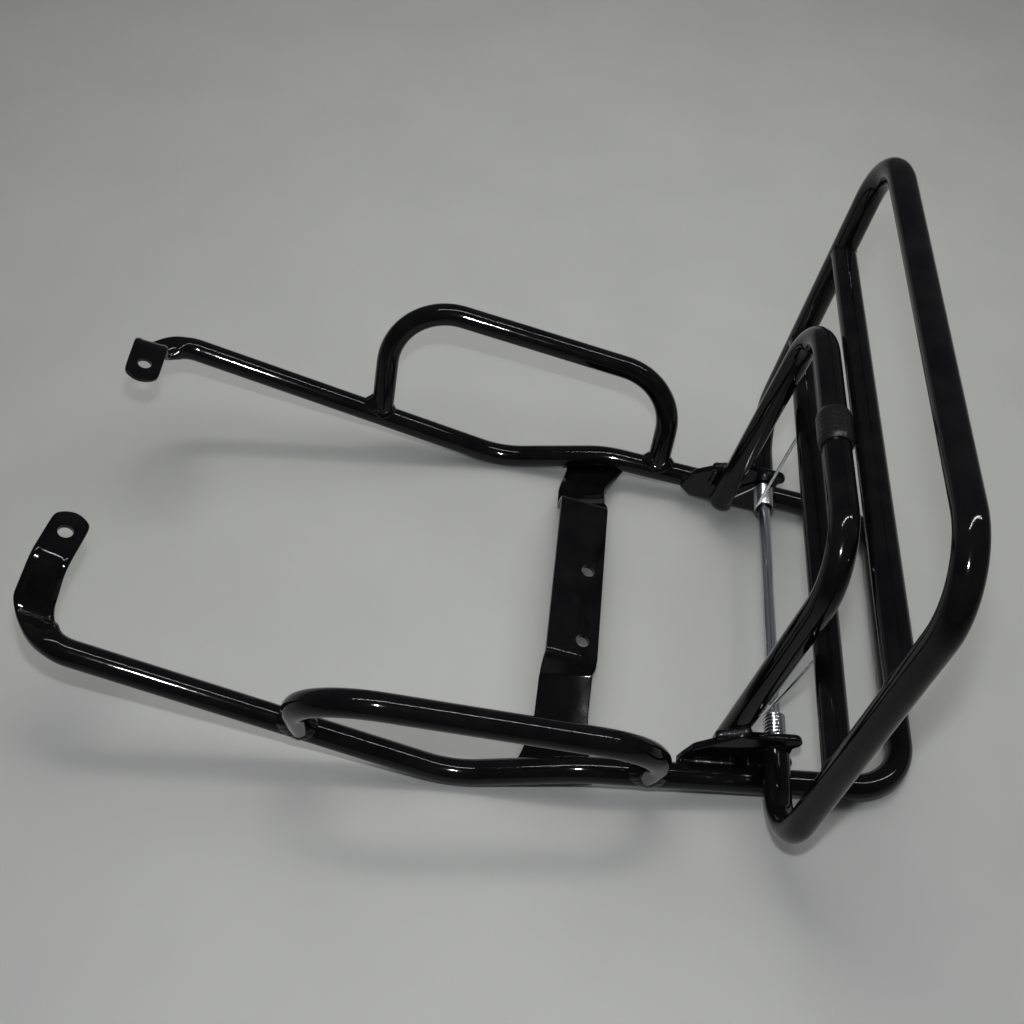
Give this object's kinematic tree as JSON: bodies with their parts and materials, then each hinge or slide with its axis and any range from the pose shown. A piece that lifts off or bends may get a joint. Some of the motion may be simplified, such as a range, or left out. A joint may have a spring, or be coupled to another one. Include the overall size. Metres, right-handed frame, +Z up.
{
  "type": "folding luggage rack",
  "caption": "Black tube rack for a scooter's tail: rail base with grab handles and a sprung flap that stands against a stop loop and folds back flat.",
  "frame": {"origin": "on the table plane under the middle of the rack's length and width, the rack resting by itself on its knees and its tail tube with the flap raised", "axes": "+X to the rear, towards the tail tube and the flap; +Y to the rider's right; +Z up from the table. The front tabs are at -X"},
  "size_m": [0.5467, 0.3586, 0.2928],
  "materials": {
    "gloss_black": "gloss",
    "zinc_plate": "satin",
    "rubber": "matte",
    "nylon": "matte"
  },
  "bodies": {
    "base": {"base_frame": "gloss_black", "grab_handle_left": "gloss_black", "grab_handle_right": "gloss_black", "bridge_plate": "gloss_black", "hinge_plate_left": "gloss_black", "hinge_plate_right": "gloss_black", "stop_loop": "gloss_black", "stop_buffer": "rubber", "hinge_rod": "zinc_plate", "torsion_spring_left": "zinc_plate", "torsion_spring_right": "zinc_plate"},
    "flap": {"flap_frame": "gloss_black", "flap_crossbar_lower": "gloss_black", "flap_crossbar_upper": "gloss_black", "pivot_bush_left": "nylon", "pivot_bush_right": "nylon"}
  },
  "joints": [
    {"name": "flap_hinge", "type": "hinge", "parent": "base", "child": "flap", "pos_m": [0.17893, 0, 0.03542], "axis": [0, 1, 0], "range_deg": [0, 90.4], "stiffness_Nm_per_rad": 1.4, "springref_deg": -28.65, "deforming": ["torsion_spring_left", "torsion_spring_right"]}
  ]
}
